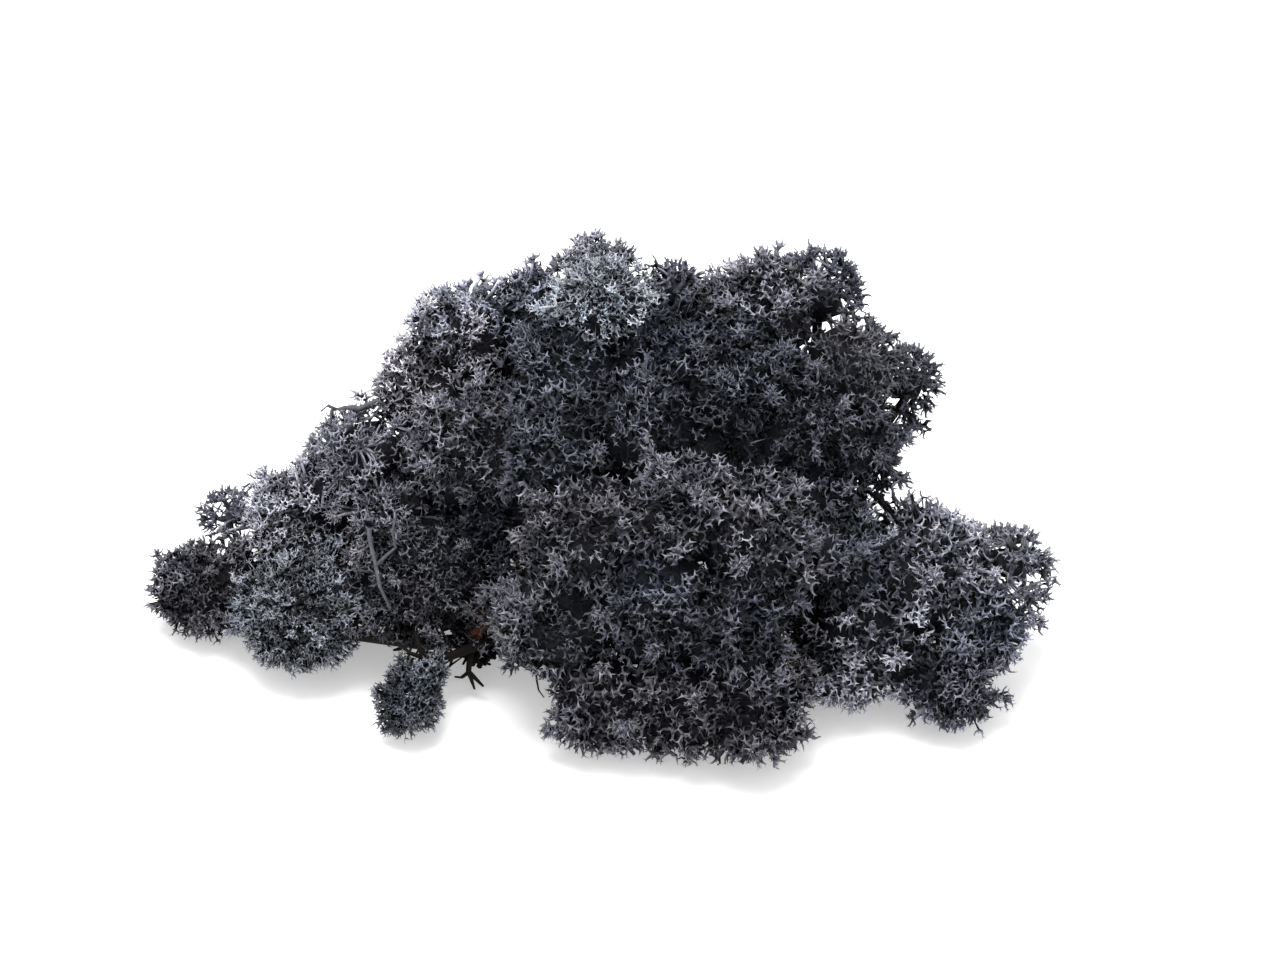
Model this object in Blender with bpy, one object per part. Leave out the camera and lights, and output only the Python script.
"""Reindeer moss clump: rounded heads of forked lichen twigs, packed round a brown bundle of stems.

Run it with Blender 4.5, from the text editor or with --background --python part.py.
Blender's units are metres. The layout below is in millimetres and MM turns it into metres.
+X runs along the clump, +Y away from its front edge, +Z up. The clump lies on the plane z = 0.
"""

import math
import random

import bmesh
import bpy
from mathutils import Euler, Vector, noise

MM = 0.001

# The share of a head's radius that its dense heart fills. Twigs stand out over the rest.
HEART_SHARE = 0.80
# Where a neighbour is near, the heart swells to press against it: fully when the wall between them
# is within the first share of the outline, and not at all past the second share.
PRESSED_SHARE = 1.2
FREE_SHARE = 1.5
# Half of the gap that neighbouring heads keep between them
HALF_GAP = 0.2
# The surface of a head swells and dips by this share of its radius, in lumps of this fineness.
LUMP_SHARE = 0.22
LUMP_FINENESS = 2.3
# Each head runs back towards the middle of the clump's base in a neck: share of the radius that
# the neck is set off by, and its own radius as a share.
CLUMP_MIDDLE = Vector((2, 54, 8))
NECK_OFFSET = 0.75
NECK_SHARE = 0.86
# A twig shorter than this isn't grown.
SHORTEST_TWIG = 1.5
# Share of a twig's length that is stalk, before it forks into three tips
STALK_SHARE = 0.45
# Half thickness of a stalk where it forks, and how far its tips lean out, as a share of its length
FORK_RADIUS = 0.8
TIP_SPREAD = 0.6
# Longest and shortest tips, as shares of the twig's length, and the point between them
LONGEST_TIP = 1.15
SHORTEST_TIP = 0.8
AXIL_SHARE = 0.3
# A twig leans by up to this much, and follows its own face's slope by the second share.
LEAN = 0.25
SLOPE_SHARE = 0.4
# Twigs end this share of the head's radius past its outline, give or take the second share.
OVERSHOOT = 0.08
OVERSHOOT_VARIES = 0.06
# Outer area of a head for each of its twigs, in square millimetres
AREA_PER_TWIG = 60.0
# No twig grows within this angle of the line down to the stems that carry the head.
STALK_CONE = math.radians(50)
SHORTEST_STEM = 3.0
# Half thickness of a stem at its middle and where it meets a head
STEM_RADIUS = 1.1
STEM_END_RADIUS = 0.8
# Broken, forked stubs on each root mass
STUBS = 7
# How far a stem bows sideways at its middle, as a share of its length
STEM_BOW = 0.12
# A heart whose underside comes this near the ground is pressed flat on it.
PRESSED_FLAT = 1.2
# The share of a bundle's radius that its root mass fills. Stems and stubs stand out of it.
ROOT_SHARE = 0.42

# Each head: name, tone, centre x, y, z and radius in millimetres. y starts at the front edge.
HEADS = (
    # Left end
    ("head_left_tip", "charcoal", -74, 44, 7.5, 8.8),
    ("head_left_spur", "charcoal", -69, 60, 12, 5.6),
    ("head_left_round", "ash", -55, 33, 10.5, 11.7),
    ("head_left_shoulder", "slate", -56, 53, 17.5, 9.5),
    ("head_left_slope", "slate", -46, 56, 29.5, 8.8),
    ("head_left_dip", "slate", -39, 42, 26, 7.2),
    ("head_left_lower", "slate", -32.5, 37, 15.5, 12.4),
    ("head_stray_tuft", "ash", -35, 15, 7, 7),
    # Front bulge
    ("head_front_foot_left", "charcoal", -3, 10, 8.5, 8.2),
    ("head_front_foot_middle", "charcoal", 12, 9, 9, 9.2),
    ("head_front_foot_right", "charcoal", 24, 7, 11, 11),
    ("head_front_left", "slate", -11, 21, 20, 11),
    ("head_front_middle", "charcoal", 8, 17, 26, 10.3),
    ("head_front_right", "charcoal", 22, 12, 25, 9.7),
    ("head_brow_left", "slate", -6, 27, 35, 10.6),
    ("head_brow_middle", "slate", 11, 27, 40, 10.3),
    ("head_brow_right", "slate", 26, 25, 35, 10.3),
    # Right end
    ("head_right_near", "slate", 40, 29, 27, 9),
    ("head_right_foot", "slate", 43, 24, 10, 11),
    ("head_right_big", "slate", 56, 34, 20, 11),
    ("head_right_low", "charcoal", 60, 17, 8.5, 8.6),
    ("head_right_under", "charcoal", 65, 27, 12.5, 8.8),
    ("head_right_tip", "slate", 70, 39, 18, 8),
    ("head_right_crevice", "charcoal", 36, 41, 31, 8.5),
    # Middle band
    ("head_middle_left", "slate", -25, 50, 36, 11),
    ("head_middle_crevice", "charcoal", -19, 42, 26, 7.5),
    ("head_middle", "slate", -10, 39, 44, 8.8),
    ("head_middle_right", "slate", 6, 42, 48, 9.2),
    ("head_middle_hollow", "charcoal", 19, 41, 38, 8.5),
    # Top
    ("head_top_far_left", "slate", -35, 66, 37.5, 8.3),
    ("head_top_left", "slate", -27, 72, 45, 8.6),
    ("head_top_left_inner", "charcoal", -15, 71, 50, 7.6),
    ("head_top_front", "slate", -9, 55, 50, 9.2),
    ("head_top_crown", "ash", -2, 62, 58, 8.8),
    ("head_top_back", "slate", -3, 77, 54, 7.4),
    ("head_top_dip", "charcoal", 9, 55, 52, 8.1),
    ("head_top_notch", "charcoal", 10, 72, 55, 6.6),
    ("head_top_right_front", "slate", 24, 51, 51, 10.6),
    ("head_top_right", "slate", 27, 63, 57, 9.9),
    ("head_top_right_back", "charcoal", 37, 69, 55, 9.2),
    ("head_top_right_outer", "slate", 43, 56, 49, 10.3),
    ("head_top_right_under", "charcoal", 34, 44, 45, 8.5),
    ("head_top_right_shade", "charcoal", 44, 47, 38, 7.8),
    ("head_top_right_edge", "charcoal", 52, 61, 42, 7.2),
    # Back
    ("head_back_far_left", "slate", -50, 68, 10, 11),
    ("head_back_left", "charcoal", -29, 81, 12, 12.5),
    ("head_back_middle", "slate", -6, 88, 12.5, 13),
    ("head_back_right", "slate", 17, 88, 12.5, 13),
    ("head_back_far_right", "charcoal", 36, 77, 12, 12.5),
    ("head_back_end", "slate", 60, 53, 9, 9),
    ("head_back_high_left", "slate", -21, 80, 30, 11.5),
    ("head_back_high_middle", "charcoal", 1, 84, 32, 12),
    ("head_back_high_right", "slate", 23, 82, 33, 12.5),
    ("head_back_high_end", "slate", 40, 69, 29, 10),
    ("head_back_top_left", "slate", -13, 80, 42, 9.5),
    ("head_back_top_right", "charcoal", 11, 82, 43, 9.5),
)
# Side lobes that swell out of a head: offset from its centre, and radius
LOBES = {
    "head_left_round": ((7, 6, 3, 9),),
    "head_stray_tuft": ((-3, -5, -2.5, 4.4), (3, 2, 1, 5.5)),
    "head_front_foot_left": ((5, -6, -5, 3.6),),
    "head_right_big": ((1, 5, 8, 5),),
    "head_right_tip": ((6, -2, -1, 5.4), (6, -5, -6, 5.2)),
    "head_top_right_shade": ((-3, -3, -8, 5.5),),
    "head_top_right_edge": ((2.5, -9, -6, 6.4),),
    "head_top_left": ((-3, 2, 3, 6),),
    "head_top_crown": ((2, -3, -4, 8),),
    "stems_front": ((-1, -7, -3, 5), (-7, 0, -1, 6)),
}
# The bundles of old stems inside the clump, written as the heads are
STEMS = (
    ("stems_left", "brown", -32, 60, 5.5, 14),
    ("stems_middle", "brown", 0, 53, 5.5, 22),
    ("stems_right", "brown", 28, 55, 6, 17),
    ("stems_front", "brown", -23, 31, 6.5, 10),
)
BUNDLES = tuple(row[0] for row in STEMS)
# Heads don't swell towards the bundles, nor towards the tuft that hangs on one thin stem.
STANDS_APART = ("head_stray_tuft", *BUNDLES)
UNNECKED = ("head_left_round", *STANDS_APART)
# Colour, as linear red, green and blue, and roughness of each tone
TONES = {
    "ash": ((0.060, 0.068, 0.088), 0.9),
    "slate": ((0.040, 0.043, 0.058), 0.9),
    "charcoal": ((0.022, 0.025, 0.036), 0.9),
    "brown": ((0.060, 0.030, 0.016), 0.85),
}


class Site:
    """One head or stem bundle: where it is, how far it reaches, and the room that it may fill."""

    def __init__(self, name, tone, x, y, z, radius):
        self.name = name
        self.tone = tone
        self.centre = Vector((x, y, z))
        self.radius = radius
        self.walls = []
        self.pressing_walls = []
        self.dice = random.Random(name)
        self.noise_at = Vector([self.dice.uniform(-50, 50) for _ in range(3)])
        self.lobes = [(Vector(), radius)]
        if name not in UNNECKED:
            neck = (CLUMP_MIDDLE - self.centre).normalized() * radius * NECK_OFFSET
            self.lobes.append((neck, radius * NECK_SHARE))
        for dx, dy, dz, lobe_radius in LOBES.get(name, ()):
            self.lobes.append((Vector((dx, dy, dz)), lobe_radius))

    def meet(self, others):
        """Walls half way to each neighbour, further from the bigger of the two, and the ground."""
        for other in others:
            if other is self:
                continue
            across = other.centre - self.centre
            span = across.length
            share = (span**2 + self.radius**2 - other.radius**2) / (2 * span)
            self.walls.append((across / span, share - HALF_GAP))
            if other.name not in STANDS_APART:
                self.pressing_walls.append(self.walls[-1])
        self.walls.append((Vector((0, 0, -1)), self.centre.z))

    def room(self, direction, walls=None):
        """How far a straight line from the centre runs before it meets a wall."""
        facing = [(direction.dot(normal), off) for normal, off in walls or self.walls]
        return min((off / slant for slant, off in facing if slant > 1e-6), default=math.inf)

    def reach(self, direction):
        """Distance from the centre to the lobes' outline, before it is cut short by a wall."""
        far = 0.0
        for offset, radius in self.lobes:
            along = direction.dot(offset)
            beside = offset.length_squared - along**2
            if along > -radius and beside < radius**2:
                far = max(far, along + math.sqrt(radius**2 - beside))
        lump = noise.noise(direction * LUMP_FINENESS + self.noise_at)
        return far * (1 + LUMP_SHARE * lump)

    def head_heart(self, direction):
        """How far a head's heart reaches: most of the outline, and past it to a near neighbour."""
        outline = self.reach(direction)
        wall = self.room(direction, self.pressing_walls)
        nearness = (FREE_SHARE - wall / outline) / (FREE_SHARE - PRESSED_SHARE)
        pressed = min(1.0, max(0.0, nearness))
        return outline * (HEART_SHARE + (PRESSED_SHARE - HEART_SHARE) * pressed)

    def root_heart(self, direction):
        return self.reach(direction) * ROOT_SHARE

    def borders(self, other):
        """Whether the line to another site's centre leaves this one by the wall between them."""
        across = other.centre - self.centre
        span = across.length
        share = (span**2 + self.radius**2 - other.radius**2) / (2 * span) - HALF_GAP
        return self.room(across / span) > share - 1e-6

    def kept(self, point):
        """The point itself, or where a line from the centre to it meets the first wall."""
        offset = point - self.centre
        span = offset.length
        if span < 1e-6:
            return point
        return self.centre + offset * min(1.0, self.room(offset / span) / span)


def grow_twig(bm, site, face, direction, length, fork_radius):
    """Draws a face out into a tapered stalk, then forks its end into three pointed tips."""
    root = face.calc_center_median()
    fork = site.kept(root + direction * length * STALK_SHARE)
    top = bmesh.ops.extrude_discrete_faces(bm, faces=[face])["faces"][0]
    size = max((vert.co - root).length for vert in top.verts)
    for vert in top.verts:
        flat = vert.co - root
        flat -= direction * flat.dot(direction)
        vert.co = site.kept(fork + flat * (fork_radius / size))
    poked = bmesh.ops.poke(bm, faces=[top])
    poked["verts"][0].co = site.kept(fork + direction * fork_radius * AXIL_SHARE)
    for tip_face in poked["faces"]:
        lean = tip_face.calc_center_median() - fork
        lean = (lean - direction * lean.dot(direction)).normalized()
        stretch = site.dice.uniform(SHORTEST_TIP, LONGEST_TIP)
        tip = root + direction * length * stretch + lean * length * TIP_SPREAD
        apex = bmesh.ops.poke(bm, faces=[tip_face])["verts"][0]
        apex.co = site.kept(tip)


def grow_stem(bm, site, towards):
    """Draws the nearest face out along the line to another site, bowed a little, up to the wall."""
    outward = (towards.centre - site.centre).normalized()
    face = max(bm.faces, key=lambda f: (f.calc_center_median() - site.centre).normalized().dot(outward))
    root = face.calc_center_median()
    end = site.centre + outward * site.room(outward)
    length = (end - root).length
    if length < SHORTEST_STEM:
        return
    sideways = outward.cross(Vector([site.dice.uniform(-1, 1) for _ in range(3)])).normalized()
    middle = (root + end) / 2 + sideways * length * STEM_BOW
    for point, radius in ((middle, STEM_RADIUS), (end, STEM_END_RADIUS)):
        face = bmesh.ops.extrude_discrete_faces(bm, faces=[face])["faces"][0]
        centre = face.calc_center_median()
        for vert in face.verts:
            flat = vert.co - centre
            flat -= outward * flat.dot(outward)
            vert.co = site.kept(point + flat.normalized() * radius)


def twig_faces(bm, site, wanted, carriers):
    """Faces of the heart that have room for a twig, no two of them side by side."""
    faces = list(bm.faces)
    site.dice.shuffle(faces)
    chosen = []
    taken = set()
    stalks = [(carrier.centre - site.centre).normalized() for carrier in carriers]
    for face in faces:
        if len(chosen) >= wanted:
            break
        root = face.calc_center_median()
        offset = root - site.centre
        outward = offset.normalized()
        tilt = Vector([site.dice.uniform(-LEAN, LEAN) for _ in range(3)])
        direction = (outward + face.normal * SLOPE_SHARE + tilt).normalized()
        past = 1 + OVERSHOOT + site.dice.uniform(-OVERSHOOT_VARIES, OVERSHOOT_VARIES)
        free = min(site.reach(outward) * past, site.room(outward)) - offset.length
        if free < SHORTEST_TWIG or face in taken:
            continue
        if any(outward.angle(stalk) < STALK_CONE for stalk in stalks):
            continue
        chosen.append((face, direction, free))
        for edge in face.edges:
            taken.update(edge.link_faces)
    return chosen


def heart_of(site, reach):
    """A rounded, lumpy ball inside the site's walls, flat where it presses on the ground."""
    bm = bmesh.new()
    bmesh.ops.create_icosphere(bm, subdivisions=2, radius=1.0)
    turn = Euler([site.dice.uniform(0, math.tau) for _ in range(3)])
    for vert in bm.verts:
        direction = vert.co.copy()
        direction.rotate(turn)
        direction.normalize()
        distance = min(reach(direction), site.room(direction))
        vert.co = site.centre + direction * distance
        if vert.co.z < PRESSED_FLAT:
            vert.co.z = 0.0
    bm.normal_update()
    return bm


def make_head(site, stems):
    bm = heart_of(site, site.head_heart)
    carriers = [bundle for bundle in stems if site.borders(bundle)]
    wanted = round(4 * math.pi * site.radius**2 / AREA_PER_TWIG)
    for face, direction, length in twig_faces(bm, site, wanted, carriers):
        grow_twig(bm, site, face, direction, length, FORK_RADIUS)
    for bundle in carriers:
        grow_stem(bm, site, bundle)
    return bm


def make_stems(site, sites):
    """A root mass on the ground, with a stem towards each head or bundle that borders it."""
    bm = heart_of(site, site.root_heart)
    bordering = [other for other in sites if other is not site and site.borders(other)]
    for other in bordering:
        grow_stem(bm, site, other)
    for face, direction, length in twig_faces(bm, site, STUBS, []):
        grow_twig(bm, site, face, direction, length, STEM_RADIUS)
    return bm


def material_of(tone):
    found = bpy.data.materials.get(tone)
    if found:
        return found
    colour, roughness = TONES[tone]
    made = bpy.data.materials.new(tone)
    made.diffuse_color = (*colour, 1.0)
    made.use_nodes = True
    shader = made.node_tree.nodes["Principled BSDF"]
    shader.inputs["Base Color"].default_value = (*colour, 1.0)
    shader.inputs["Roughness"].default_value = roughness
    shader.inputs["Metallic"].default_value = 0.0
    return made


def add_object(site, bm, collection):
    bmesh.ops.triangulate(bm, faces=bm.faces[:])
    bmesh.ops.recalc_face_normals(bm, faces=bm.faces[:])
    mesh = bpy.data.meshes.new(site.name)
    bm.to_mesh(mesh)
    bm.free()
    mesh.materials.append(material_of(site.tone))
    made = bpy.data.objects.new(site.name, mesh)
    collection.objects.link(made)
    return made


def centre_on_origin(objects):
    """Turns millimetres into metres and puts the middle of the clump's box over the origin."""
    points = [vert.co for made in objects for vert in made.data.vertices]
    middle = [(min(p[axis] for p in points) + max(p[axis] for p in points)) / 2 for axis in (0, 1)]
    shift = Vector((-middle[0], -middle[1], 0.0))
    for made in objects:
        for vert in made.data.vertices:
            vert.co = (vert.co + shift) * MM


def main():
    for old in list(bpy.data.objects):
        bpy.data.objects.remove(old)
    collection = bpy.data.collections.new("reindeer_moss_clump")
    bpy.context.scene.collection.children.link(collection)
    heads = [Site(*row) for row in HEADS]
    stems = [Site(*row) for row in STEMS]
    sites = heads + stems
    for site in sites:
        site.meet(sites)
    made = [add_object(site, make_head(site, stems), collection) for site in heads]
    made += [add_object(site, make_stems(site, sites), collection) for site in stems]
    centre_on_origin(made)


main()
